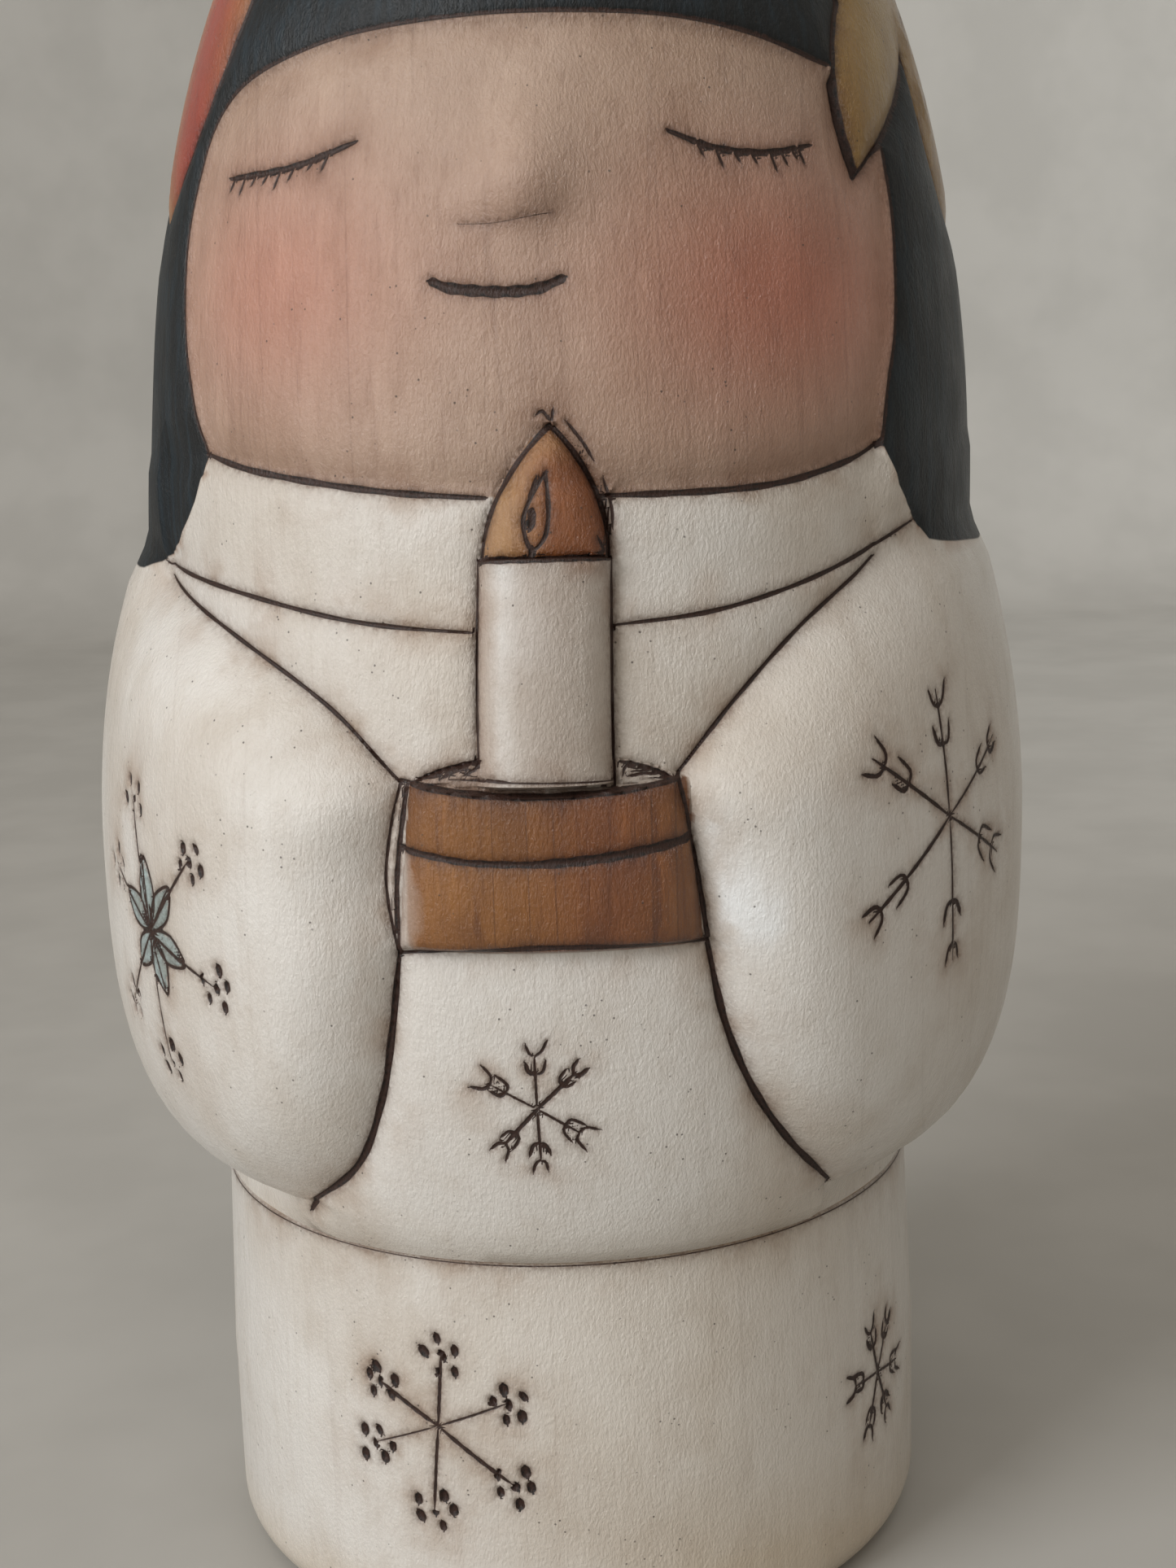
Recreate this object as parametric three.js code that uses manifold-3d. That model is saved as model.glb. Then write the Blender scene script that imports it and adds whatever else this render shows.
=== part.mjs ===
// A carved nesting doll in turned limewood: a girl with a candle, and four smaller dolls inside her.
// Millimetres, +Z up. The origin is the centre of the flat base, and the girl faces -Y.
// Angles on the body are degrees from the front (-Y), positive towards +X.

import * as THREE from 'three';
import { mergeVertices } from 'three/addons/utils/BufferGeometryUtils.js';
import Module from 'manifold-3d';

const wasm = await Module();
wasm.setup();

// --- Driving dimensions -------------------------------------------------------------------------

const GAP = 0.3; // clearance between two pieces that touch

// One entry per doll, the largest first. Heights are measured from the doll's own base.
//   height   top of the head            seam      height of the joint between the halves
//   cup      widest radius of the cup   rim       outside radius at the seam
//   body     widest radius (sleeves)    head      radius of the head where it meets the shoulders
//   floor    thickness under the hollow spigot    outside radius of the lip that enters the upper half
//   mouth    radius of the hollow       lip       height of the spigot above the seam
//   dome     top of the hollow in the upper half  sides     number of flats round the piece
const DOLLS = [
  {
    name: 'doll_1', height: 226, seam: 50, cup: 45, rim: 44, body: 57.8, head: 50.3, floor: 7,
    spigot: 41.1, mouth: 38.6, lip: 11, dome: 184, sides: 64,
  },
  {
    name: 'doll_2', height: 168, seam: 37, cup: 33.5, rim: 33, body: 36.8, head: 32.6, floor: 5.5,
    spigot: 30.4, mouth: 28, lip: 9, dome: 136.5, sides: 40,
  },
  {
    name: 'doll_3', height: 124, seam: 27, cup: 25, rim: 24.6, body: 27.3, head: 24.3, floor: 4.5,
    spigot: 22.4, mouth: 20.4, lip: 7.5, dome: 101.6, sides: 32,
  },
  {
    name: 'doll_4', height: 91, seam: 20, cup: 18, rim: 17.8, body: 19.8, head: 17.6, floor: 3.8,
    spigot: 15.9, mouth: 14.2, lip: 6, dome: 74.7, sides: 28,
  },
  { name: 'doll_5', height: 65, seam: 14, cup: 12.6, rim: 12.4, body: 13.6, head: 12.1, sides: 24 },
];

// Proportions shared by every doll, as fractions of its height.
const SHOULDER = 128 / 226; // where the hair ends on the shoulders
const WAIST = 92 / 226; // where the sleeves are widest
const SHOULDER_OVAL = 81.5 / 226; // half height of the oval that the sleeves follow above the waist
const HEAD_MIDDLE = 112 / 226; // centre of the head's oval
const HEAD_BLUNT = 2.7; // above 2, the crown is rounder than an ellipse
const HEM = 54.5 / 226; // where the bulge of the sleeves ends, just above the seam
const HEM_ROUND = 3; // above 2, that bulge turns in more sharply than an ellipse
const CORNER = 0.11; // radius of the cup's bottom corner, as a fraction of the cup's radius

// The outer doll's carving.
const BELLY = 51.5; // radius of the dress between the sleeves at the waist
const COLLAR = 48.8; // radius of the dress under the chin
const CHIN = 137; // height of the chin
const SLEEVE_ROUND = 17; // degrees over which a sleeve swells up from its inner edge
const SHOULDER_ROUND = 42; // the same at the shoulder, where the sleeve starts
const SLEEVE_BACK = 122; // degrees from the front where a sleeve starts to sink into the back
const SLEEVE_BACK_END = 160;
const FRONT = 3; // degrees from the front to the middle of the cup, candle and belly

// The inner edge of each sleeve, as degrees either side of that middle.
const EDGE = {
  shoulder: 61.5, // where it starts, beside the neck
  drop: 20, // height over which it comes in from there to the top of the cup
  cupTop: 16.5,
  cupBottom: 18.5,
  hem: 44.5,
};


// The carved figure leans to +X, because the carver's centre line isn't quite the turning axis.
const LEAN = 0.01; // for each unit of height
const LEAN_START = 0.6; // where it begins
const LEAN_FROM = 60; // height of that
const NECK_LEAN = 0.85; // how much further over the head stands than the shoulders
const NECK = [110, 150]; // heights between which it does so

const CANDLE = { angle: 2.5, radius: 7.1, bottom: 106, top: 130, proud: 3.6 };
const FLAME = { half: 6.8, height: 14.2, proud: 3 };
const CUP = { angle: 3, top: 107, bottom: 89, topHalf: 14.3, bottomHalf: 15.9, proud: 2.4, depth: 7 };

// --- Materials ----------------------------------------------------------------------------------

const painted = new THREE.Color(0xcdc5bb);
const limewood = new THREE.Color(0xd0b48c);

function woodMaterial(colour) {
  return new THREE.MeshStandardMaterial({ color: colour, roughness: 0.45, metalness: 0 });
}

// --- Helpers ------------------------------------------------------------------------------------

const radians = THREE.MathUtils.degToRad;
const degrees = THREE.MathUtils.radToDeg;
const { smoothstep, lerp } = THREE.MathUtils;

// A closed three.js geometry as a solid that can be joined and cut.
function toSolid(geometry) {
  const bare = geometry.index ? geometry.toNonIndexed() : geometry.clone();
  for (const name of Object.keys(bare.attributes)) {
    if (name !== 'position') bare.deleteAttribute(name);
  }
  const merged = mergeVertices(bare, 1e-4);
  const corners = [];
  for (let i = 0; i < merged.index.count; i += 3) {
    const [a, b, c] = [0, 1, 2].map((k) => merged.index.getX(i + k));
    if (a !== b && b !== c && c !== a) corners.push(a, b, c);
  }
  return new wasm.Manifold(new wasm.Mesh({
    numProp: 3,
    vertProperties: new Float32Array(merged.attributes.position.array),
    triVerts: new Uint32Array(corners),
  }));
}

function toGeometry(solid) {
  const mesh = solid.getMesh();
  const geometry = new THREE.BufferGeometry();
  geometry.setAttribute('position', new THREE.BufferAttribute(new Float32Array(mesh.vertProperties), 3));
  geometry.setIndex(new THREE.BufferAttribute(new Uint32Array(mesh.triVerts), 1));
  geometry.computeVertexNormals();
  return geometry;
}

// A turned shape about +Z. The outline is [radius, height] pairs that start and end on the axis.
// Its first flat starts at the front.
function turned(outline, sides) {
  const points = outline.map(([radius, height]) => new THREE.Vector2(radius, height));
  return new THREE.LatheGeometry(points, sides).rotateX(Math.PI / 2);
}

// Points [radius, height] of a quarter oval, from one end of the quarter to the other.
function quarterOval(centreRadius, centreHeight, acrossRadius, alongHeight, fromDeg, toDeg, steps) {
  return Array.from({ length: steps + 1 }, (_, i) => {
    const angle = radians(lerp(fromDeg, toDeg, i / steps));
    return [centreRadius + acrossRadius * Math.cos(angle), centreHeight + alongHeight * Math.sin(angle)];
  });
}

function spread(from, to, count) {
  return Array.from({ length: count }, (_, i) => lerp(from, to, i / (count - 1)));
}

// --- Outside shape ------------------------------------------------------------------------------

// Radius of a doll above its seam, at a height from its own base, seen at the sleeves.
function sideRadius(doll, z) {
  const waist = doll.height * WAIST;
  const shoulder = doll.height * SHOULDER;
  const middle = doll.height * HEAD_MIDDLE;
  const up = THREE.MathUtils.clamp((z - middle) / (doll.height - middle), 0, 1);
  const head = doll.head * Math.sqrt(1 - up ** HEAD_BLUNT);
  if (z < waist) {
    const down = Math.min(1, (waist - z) / (waist - doll.height * HEM));
    return doll.rim + (doll.body - doll.rim) * Math.sqrt(1 - down ** HEM_ROUND);
  }
  const sleeve = doll.body * Math.sqrt(Math.max(0, 1 - ((z - waist) / (doll.height * SHOULDER_OVAL)) ** 2));
  return lerp(sleeve, head, smoothstep(z, shoulder - 3, shoulder + 3));
}

// Radius of the outer doll's dress and face in front, between the sleeves.
function frontRadius(doll, z) {
  const waist = doll.height * WAIST;
  if (z < waist) {
    const down = (waist - z) / (waist - doll.seam);
    return doll.rim + (BELLY - doll.rim) * Math.sqrt(Math.max(0, 1 - down ** 2));
  }
  const chest = BELLY - (BELLY - COLLAR) * Math.min(1, (z - waist) / (doll.height * SHOULDER - waist)) ** 2;
  return lerp(chest, sideRadius(doll, z), smoothstep(z, CHIN - 1.5, CHIN + 4));
}

// Angle of a sleeve's inner edge, from the middle of the belly: two lines under the collar that
// meet at the cup, straight beside the cup, and two curves that open towards the hem.
function sleeveEdge(doll, z) {
  if (z > CUP.top) {
    const up = Math.min(1, (z - CUP.top) / EDGE.drop);
    return lerp(EDGE.cupTop, EDGE.shoulder, up ** 1.5);
  }
  if (z > CUP.bottom) {
    return lerp(EDGE.cupTop, EDGE.cupBottom, (CUP.top - z) / (CUP.top - CUP.bottom));
  }
  const down = (CUP.bottom - z) / (CUP.bottom - doll.seam);
  return lerp(EDGE.cupBottom, EDGE.hem, down ** 2);
}

// Radius of the outer doll's upper half at a height and an angle from the front.
function carvedRadius(doll, z, angle) {
  const side = sideRadius(doll, z);
  const front = frontRadius(doll, z);
  const away = Math.abs(angle - FRONT);
  const edge = sleeveEdge(doll, z);
  const round = lerp(SLEEVE_ROUND, SHOULDER_ROUND, smoothstep(z, CUP.top, CUP.top + 21));
  const swell = THREE.MathUtils.clamp((away - edge) / round, 0, 1);
  const rounded = Math.sqrt(1 - (1 - swell) ** 2);
  const back = 1 - smoothstep(Math.abs(angle), SLEEVE_BACK, SLEEVE_BACK_END);
  return lerp(front, side, rounded * back);
}

function lean(z) {
  const body = LEAN_START * smoothstep(z, DOLLS[0].seam, LEAN_FROM) + LEAN * Math.max(0, z - LEAN_FROM);
  return body + NECK_LEAN * smoothstep(z, ...NECK);
}

// Heights of the rings round an upper half: close together at the hem, shoulder and crown.
function ringHeights(doll, hem, chest, crown) {
  const waist = doll.height * WAIST;
  const shoulder = doll.height * SHOULDER;
  const low = spread(0, 1, hem).map((t) => lerp(doll.seam + GAP / 2, waist, t ** 1.6));
  const middle = spread(waist, shoulder + 3, chest).slice(1);
  const high = spread(0, 90, crown).slice(1).map((t) => {
    return shoulder + 3 + (doll.height - shoulder - 3) * Math.sin(radians(t));
  });
  return [...low, ...middle, ...high];
}

// --- The pieces ---------------------------------------------------------------------------------

// The cup with its flat base, hollow and spigot lip.
function lowerHalf(doll) {
  const corner = doll.cup * CORNER;
  const shoulder = doll.seam - GAP / 2;
  const top = doll.seam + doll.lip;
  const chamfer = 0.06 * doll.lip;
  const fillet = 0.12 * doll.mouth;
  return turned([
    [0, 0],
    ...quarterOval(doll.cup - corner, corner, corner, corner, -90, 0, 3),
    [doll.cup, doll.seam * 0.5],
    [doll.rim, shoulder],
    [doll.spigot, shoulder],
    [doll.spigot, top - chamfer],
    [doll.spigot - chamfer, top],
    [doll.mouth, top],
    [doll.mouth, doll.floor + fillet],
    [doll.mouth - fillet * 0.3, doll.floor + fillet * 0.3],
    [doll.mouth - fillet, doll.floor],
    [0, doll.floor],
  ], doll.sides);
}

// The hollow of an upper half, from below its rim: the socket for the spigot, then a domed bore.
function hollow(doll) {
  const socket = doll.spigot + GAP;
  const bore = doll.mouth + 0.01 * doll.cup;
  const ledge = doll.seam + doll.lip + GAP;
  const spring = doll.seam + 0.5 * (doll.dome - doll.seam);
  return turned([
    [0, doll.seam - 1],
    [socket, doll.seam - 1],
    [socket, ledge],
    [bore, ledge],
    ...quarterOval(0, spring, bore, doll.dome - spring, 0, 90, 6),
  ], doll.sides);
}

// The plain turned upper half of an inner doll.
function upperHalf(doll) {
  const block = turned([
    [0, doll.seam + GAP / 2],
    ...ringHeights(doll, 6, 4, 7).map((z) => [sideRadius(doll, z), z]),
  ], doll.sides);
  return toGeometry(toSolid(block).subtract(toSolid(hollow(doll))));
}

// The outer doll's upper half before it is hollowed: a turned block with the sleeves carved proud.
function carvedBlock(doll) {
  const rings = ringHeights(doll, 10, 11, 11).map((z) => [sideRadius(doll, z), z]);
  const block = turned([[0, doll.seam + GAP / 2], ...rings], doll.sides);
  const place = block.attributes.position;
  for (let i = 0; i < place.count; i += 1) {
    const [x, y, z] = [place.getX(i), place.getY(i), place.getZ(i)];
    const away = Math.hypot(x, y);
    const turn = away > 0.001 ? Math.atan2(x, -y) : 0;
    const radius = away > 0.001 ? carvedRadius(doll, z, degrees(turn)) : 0;
    place.setXY(i, radius * Math.sin(turn) + lean(z), -radius * Math.cos(turn));
  }
  return block;
}

// Moves a relief from the axis to its place: an angle from the front, a distance out and a height.
function placed(geometry, angle, out, z) {
  const turn = radians(angle);
  return geometry.translate(out * Math.sin(turn) + lean(z), -out * Math.cos(turn), z);
}

function candleRelief(doll) {
  const height = CANDLE.top - CANDLE.bottom;
  const out = frontRadius(doll, CANDLE.top) + CANDLE.proud - CANDLE.radius;
  const stick = new THREE.CylinderGeometry(CANDLE.radius, CANDLE.radius, height, 28).rotateX(Math.PI / 2);
  return placed(stick, CANDLE.angle, out, CANDLE.bottom + height / 2);
}

// A pointed arch, cut as a flat relief that stands on the candle.
function flameRelief(doll) {
  const outline = new THREE.Shape();
  outline.moveTo(-FLAME.half, 0);
  outline.lineTo(FLAME.half, 0);
  outline.quadraticCurveTo(FLAME.half, 0.6 * FLAME.height, 0, FLAME.height);
  outline.quadraticCurveTo(-FLAME.half, 0.6 * FLAME.height, -FLAME.half, 0);
  const depth = FLAME.half;
  const arch = new THREE.ExtrudeGeometry(outline, { depth, bevelEnabled: false, curveSegments: 6 });
  arch.rotateX(Math.PI / 2).rotateZ(radians(CANDLE.angle));
  const back = frontRadius(doll, CANDLE.top) + FLAME.proud - depth;
  return placed(arch, CANDLE.angle, back, CANDLE.top - GAP);
}

function cupRelief(doll) {
  const height = CUP.top - CUP.bottom;
  const wall = new THREE.CylinderGeometry(CUP.topHalf, CUP.bottomHalf, height, 36).rotateX(Math.PI / 2);
  wall.scale(1, CUP.depth / CUP.bottomHalf, 1);
  wall.rotateZ(radians(CUP.angle));
  return placed(wall, CUP.angle, BELLY + CUP.proud - CUP.depth, CUP.bottom + height / 2);
}

function carvedUpperHalf(doll) {
  const reliefs = [candleRelief(doll), flameRelief(doll), cupRelief(doll)];
  const figure = reliefs.reduce((whole, relief) => whole.add(toSolid(relief)), toSolid(carvedBlock(doll)));
  return toGeometry(figure.subtract(toSolid(hollow(doll))));
}

// The smallest doll, one solid piece.
function solidDoll(doll) {
  const corner = doll.cup * CORNER;
  return turned([
    [0, 0],
    ...quarterOval(doll.cup - corner, corner, corner, corner, -90, 0, 3),
    [doll.rim, doll.seam],
    ...ringHeights(doll, 6, 4, 7).slice(1).map((z) => [sideRadius(doll, z), z]),
  ], doll.sides);
}

// --- Assembly -----------------------------------------------------------------------------------

const figure = new THREE.Group();

function addPiece(parent, name, geometry, colour) {
  const piece = new THREE.Mesh(geometry, woodMaterial(colour));
  piece.name = name;
  parent.add(piece);
}

let base = 0;
for (const doll of DOLLS) {
  const standing = new THREE.Group();
  standing.position.z = base;
  figure.add(standing);
  if (doll.dome) {
    const upper = doll === DOLLS[0] ? carvedUpperHalf(doll) : upperHalf(doll);
    addPiece(standing, `${doll.name}_lower_half`, lowerHalf(doll), painted);
    addPiece(standing, `${doll.name}_upper_half`, upper, painted);
    base += doll.floor + GAP;
  } else {
    addPiece(standing, doll.name, solidDoll(doll), limewood);
  }
}

export default figure;
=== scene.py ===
"""Looks of a carved, burnt and painted nesting doll, built round its CAD frame.

Lengths are millimetres until a mesh is made, when they become metres. A place on a doll is an angle in
degrees from the front (-Y), positive towards +X, and a height above that doll's own base. The figure is
drawn once, at the size of the outer doll, and scaled for the smaller ones.
"""
import math
from dataclasses import dataclass

import bmesh
import bpy
import numpy as np
from mathutils import Matrix, Vector
from mathutils.kdtree import KDTree


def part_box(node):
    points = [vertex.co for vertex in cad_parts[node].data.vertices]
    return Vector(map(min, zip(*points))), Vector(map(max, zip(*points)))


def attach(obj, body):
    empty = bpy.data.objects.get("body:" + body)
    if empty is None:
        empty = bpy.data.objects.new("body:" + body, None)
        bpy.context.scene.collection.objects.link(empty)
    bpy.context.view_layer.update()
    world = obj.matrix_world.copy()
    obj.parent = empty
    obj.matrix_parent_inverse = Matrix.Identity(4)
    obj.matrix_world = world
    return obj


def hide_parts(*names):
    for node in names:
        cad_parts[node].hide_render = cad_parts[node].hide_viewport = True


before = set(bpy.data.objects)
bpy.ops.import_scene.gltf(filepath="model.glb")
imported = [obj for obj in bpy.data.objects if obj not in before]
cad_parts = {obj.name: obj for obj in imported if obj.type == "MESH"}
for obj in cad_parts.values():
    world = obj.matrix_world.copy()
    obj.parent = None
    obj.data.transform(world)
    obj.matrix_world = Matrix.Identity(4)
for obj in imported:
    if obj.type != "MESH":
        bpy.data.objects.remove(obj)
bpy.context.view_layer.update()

MM = 0.001
GAP = 0.3  # clearance between the halves
FIGURE_HEIGHT = 226.0  # height of the doll that the figure is drawn on


# --- Dimensions of the dolls ---


@dataclass
class Doll:
    """One doll, with radii and heights as in the CAD part.

    floor and dome are the bottom and the top of its hollow, and cell is the size of its mesh's squares.
    """

    name: str
    height: float
    seam: float
    cup: float
    rim: float
    body: float
    head: float
    floor: float = 0.0
    spigot: float = 0.0
    mouth: float = 0.0
    lip: float = 0.0
    dome: float = 0.0
    belly: float = 0.0
    collar: float = 0.0
    lean: float = 0.0
    cell: float = 2.0

    @property
    def scale(self):
        return self.height / FIGURE_HEIGHT


DOLLS = [
    Doll("doll_1", 226, 50, 45, 44, 57.8, 50.3, 7, 41.1, 38.6, 11, 184, 51.5, 48.8, 1.0, 2.3),
    Doll("doll_2", 168, 37, 33.5, 33, 36.8, 32.6, 5.5, 30.4, 28, 9, 136.5, 35.2, 31.9, 0.0, 1.8),
    Doll("doll_3", 124, 27, 25, 24.6, 27.3, 24.3, 4.5, 22.4, 20.4, 7.5, 101.6, 26.2, 23.8, 0.0, 1.5),
    Doll("doll_4", 91, 20, 18, 17.8, 19.8, 17.6, 3.8, 15.9, 14.2, 6, 74.7, 19.0, 17.2, 0.0, 1.2),
    Doll("doll_5", 65, 14, 12.6, 12.4, 13.6, 12.1, belly=13.1, collar=11.8, cell=1.0),
]

# The block that the figure is carved from: heights on it, and how its curves bend.
WAIST = 92.0
SHOULDER = 128.0
HEAD_MIDDLE = 112.0
HEAD_BLUNT = 2.7  # 2 would make the head's outline an ellipse
SHOULDER_OVAL = 81.5  # how far above the waist the sleeves' outline would close
HEM = 54.5  # where the bulge of the sleeves ends, just above the seam
CORNER = 0.11  # radius of the cup's bottom corner over the cup's radius
SLEEVE_FOLD = 0.9  # radius of the fold along a sleeve's inner edge
SLEEVE_ROUND = 14.0  # width over which a sleeve swells up from its inner edge
BACK_FADE = (122.0, 160.0)  # angles between which the sleeves sink into the back

# Inner edges of the two sleeves, from the shoulder to the hem, as (angle, height).
LEFT_SLEEVE = [(-64, 126.5), (-42, 121.2), (-26, 115), (-15.4, 107), (-17.6, 97), (-16.4, 88.4),
               (-18.1, 78.7), (-20.5, 70), (-25.5, 61.2), (-36, 53.5)]
RIGHT_SLEEVE = [(50, 128.1), (36.5, 121.8), (26.5, 114.8), (18.1, 107), (20.4, 97.5), (21.9, 88.8),
                (24.4, 79), (28.9, 70), (35.5, 62), (44, 54.8)]

CANDLE_ANGLE = 2.5
CANDLE_HALF = 7.1
CANDLE_FOOT = 106.8
CANDLE_TOP = 130.3
FLAME_HEIGHT = 13.9
CUP_ANGLE = 2.6
CUP_FOOT = 88.7
CUP_RIM = 105.8
FACE_MIDDLE = 162.0
NOSE = (0.7, 168.0)
FACE_SIDE = 75  # angle from the front past which there is no face
JAW = (-49.7, 50)  # angles of the two ends of the chin
CUP_SPREAD = 16.6  # half angle of the cup at its rim
CHEST_RADIUS = 49.4  # radius of the front behind the candle

# Heights on the outer doll, and the radius of its front at each, to measure distances round it.
FRONT_HEIGHTS = [50, WAIST, SHOULDER, 150, 185]
FRONT_RADII = [44, 51.5, 48.8, 48.9, 41.5]


# --- Small tools ---


def smooth(low, high, x):
    """0 below low, 1 above high, and a smooth step between."""
    t = np.clip((np.asarray(x, float) - low) / (high - low), 0, 1)
    return t * t * (3 - 2 * t)


def blend(a, b, t):
    return a + (b - a) * t


def bell(x, width):
    """A bell curve: 1 where x is 0."""
    return np.exp(-((x / width) ** 2))


def cover(tint, value, weight):
    """A colour, or rows of them, with a value laid over by a weight in each row."""
    return tint * (1 - weight[:, None]) + value * weight[:, None]


def colour(code):
    """A hex sRGB colour as linear RGB."""
    parts = np.array([int(code[i:i + 2], 16) / 255 for i in (0, 2, 4)])
    return np.where(parts <= 0.04045, parts / 12.92, ((parts + 0.055) / 1.055) ** 2.4)


def curve(points, steps=14):
    """A smooth line through the points."""
    p = np.array(points, float)
    if len(p) == 2:
        t = np.linspace(0, 1, steps)[:, None]
        return p[0] * (1 - t) + p[1] * t
    ends = np.vstack([2 * p[0] - p[1], p, 2 * p[-1] - p[-2]])
    t = np.linspace(0, 1, steps, endpoint=False)[:, None]
    parts = []
    for a, b, c, d in zip(ends, ends[1:], ends[2:], ends[3:]):
        parts.append(0.5 * (2 * b + (c - a) * t + (2 * a - 5 * b + 4 * c - d) * t**2
                            + (3 * b - a - 3 * c + d) * t**3))
    return np.vstack([*parts, p[-1:]])


def resampled(points, step):
    """The same line with points an even step apart."""
    lengths = np.linalg.norm(np.diff(points, axis=0), axis=1)
    along = np.concatenate([[0], np.cumsum(lengths)])
    count = max(2, int(along[-1] / step) + 1)
    at = np.linspace(0, along[-1], count)
    return np.column_stack([np.interp(at, along, column) for column in points.T])


def inside(polygon, x, y):
    """Which of the points lie in a closed polygon, by counting crossings."""
    result = np.zeros(np.shape(x), bool)
    for (x1, y1), (x2, y2) in zip(polygon, np.roll(polygon, -1, axis=0)):
        if y1 == y2:
            continue
        crosses = (y1 > y) != (y2 > y)
        result ^= crosses & (x < (x2 - x1) * (y - y1) / (y2 - y1) + x1)
    return result


def new_object(name, data):
    """A new object in the scene."""
    thing = bpy.data.objects.new(name, data)
    bpy.context.scene.collection.objects.link(thing)
    return thing


class Near:
    """Finds the nearest of many 3-D points, and its distance."""

    def __init__(self, points):
        self.tree = KDTree(len(points))
        for i, point in enumerate(points):
            self.tree.insert(point, i)
        self.tree.balance()

    def __call__(self, points):
        found = [self.tree.find(p)[1:] for p in points]
        which, distance = zip(*found)
        return np.array(which), np.array(distance)


# --- Shape of the figure ---


def side_radius(doll, z):
    """Radius at the sleeves, above the seam. z is a height on the figure."""
    down = np.clip((WAIST - z) / (WAIST - HEM), 0, 1)
    hem = doll.rim + (doll.body - doll.rim) * np.sqrt(1 - down**3)
    sleeve = doll.body * np.sqrt(np.clip(1 - ((z - WAIST) / SHOULDER_OVAL) ** 2, 0, 1))
    up = np.clip((z - HEAD_MIDDLE) / (FIGURE_HEIGHT - HEAD_MIDDLE), 0, 1)
    head = doll.head * np.sqrt(1 - up**HEAD_BLUNT)
    above = blend(sleeve, head, smooth(SHOULDER - 3, SHOULDER + 3, z))
    return np.where(z < WAIST, hem, above)


# The line under the face.
CHIN = [(-50, 140.9), (-42, 139.7), (-33, 138.8), (-18, 137.5), (-5, 136.8), (9, 136.7), (24, 136.6),
        (33, 136.9), (40, 137.8), (46, 138.9), (50, 140.1)]


def chin(angle):
    return np.interp(angle, *zip(*CHIN))


def front_radius(doll, angle, z):
    """Radius of the dress and face in front, between the sleeves."""
    seam = doll.seam / doll.scale
    down = np.clip((WAIST - z) / (WAIST - seam), 0, 1)
    hem = doll.rim + (doll.belly - doll.rim) * np.sqrt(1 - down**2)
    up = np.clip((z - WAIST) / (SHOULDER - WAIST), 0, 1)
    chest = doll.belly - (doll.belly - doll.collar) * up**2
    jaw = smooth(-0.6, 5.5, z - chin(angle))
    above = blend(chest, side_radius(doll, z), jaw)
    return np.where(z < WAIST, hem, above)


def lean(doll, z):
    """How far the carved figure leans to +X at a height."""
    body = 0.6 * smooth(50, 60, z) + 0.01 * np.maximum(0, z - 60)
    return doll.lean * (body + 0.85 * smooth(110, 150, z))


def sleeve_angles(z):
    """Angles of the left and the right sleeve's inner edge at a height."""
    left, right = (np.array(edge, float)[::-1] for edge in (LEFT_SLEEVE, RIGHT_SLEEVE))
    return np.interp(z, left[:, 1], left[:, 0]), np.interp(z, right[:, 1], right[:, 0])


def on_cylinder(radius, angle, z):
    turn = np.radians(angle)
    return np.column_stack([radius * np.sin(turn), -radius * np.cos(turn), z])


def sleeve_finder():
    """Distance from any place on the outer doll's figure to the nearest sleeve edge."""
    doll = DOLLS[0]
    points = []
    for edge in (LEFT_SLEEVE, RIGHT_SLEEVE):
        line = curve(edge)
        points.append(resampled(on_cylinder(side_radius(doll, line[:, 1]), line[:, 0], line[:, 1]), 0.5))
    near = Near(np.vstack(points))

    def distance(angle, z):
        return near(on_cylinder(side_radius(doll, z), angle, z))[1]

    return distance


sleeve_distance = sleeve_finder()


def bare_radius(doll, angle, z):
    """Radius of the carved block before its reliefs, from its base up to the crown."""
    side = side_radius(doll, z)
    front = front_radius(doll, angle, z)
    left, right = sleeve_angles(z)
    outside = (angle < left) | (angle > right)
    away = np.hypot(sleeve_distance(angle, z), SLEEVE_FOLD) - SLEEVE_FOLD
    swell = np.where(outside, np.clip(away / SLEEVE_ROUND, 0, 1), 0)
    rounded = 1 - (1 - swell) ** 2.4
    back = 1 - smooth(*BACK_FADE, np.abs(angle))
    return blend(front, side, rounded * back)


def across(angle, centre, z):
    """Distance round the outer doll's figure from an angle, in the plane of its front."""
    return np.radians(angle - centre) * np.interp(z, FRONT_HEIGHTS, FRONT_RADII)


def pillow(u, power, edge):
    """A rounded rise: 1 in the middle and 0 where u reaches 1."""
    return np.clip(1 - np.abs(u) ** power, 0, 1) ** edge


def flame_half(z):
    """Half width of the flame at a height; 0 outside it."""
    t = np.clip((z - CANDLE_TOP) / FLAME_HEIGHT, 0, 1)
    return np.where(z < CANDLE_TOP, 0, (CANDLE_HALF - 0.4) * (1 - t**2) ** 0.95)


def cup_half(z):
    """Half angle of the cup at a height."""
    return np.interp(z, [CUP_FOOT, 107], [18.6, CUP_SPREAD])


def cup_front_rim(angle):
    return CUP_RIM + 1.3 * ((angle - CUP_ANGLE) / CUP_SPREAD) ** 2


def cup_back_rim(angle):
    return CUP_RIM + 4.3 - 3.0 * ((angle - CUP_ANGLE) / CUP_SPREAD) ** 2


def candle_relief(angle, z):
    x = across(angle, CANDLE_ANGLE, z)
    wax = pillow(x / CANDLE_HALF, 2.0, 0.5) * smooth(CANDLE_FOOT - 0.4, CANDLE_FOOT + 0.2, z)
    wax = wax * (z < CANDLE_TOP)
    half = np.maximum(flame_half(z), 0.01)
    tip = 1 - np.clip((z - CANDLE_TOP) / FLAME_HEIGHT, 0, 1) ** 3
    flame = pillow(x / half, 2.4, 0.55) * tip * (z >= CANDLE_TOP)
    return 3.5 * wax + 2.5 * flame


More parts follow.
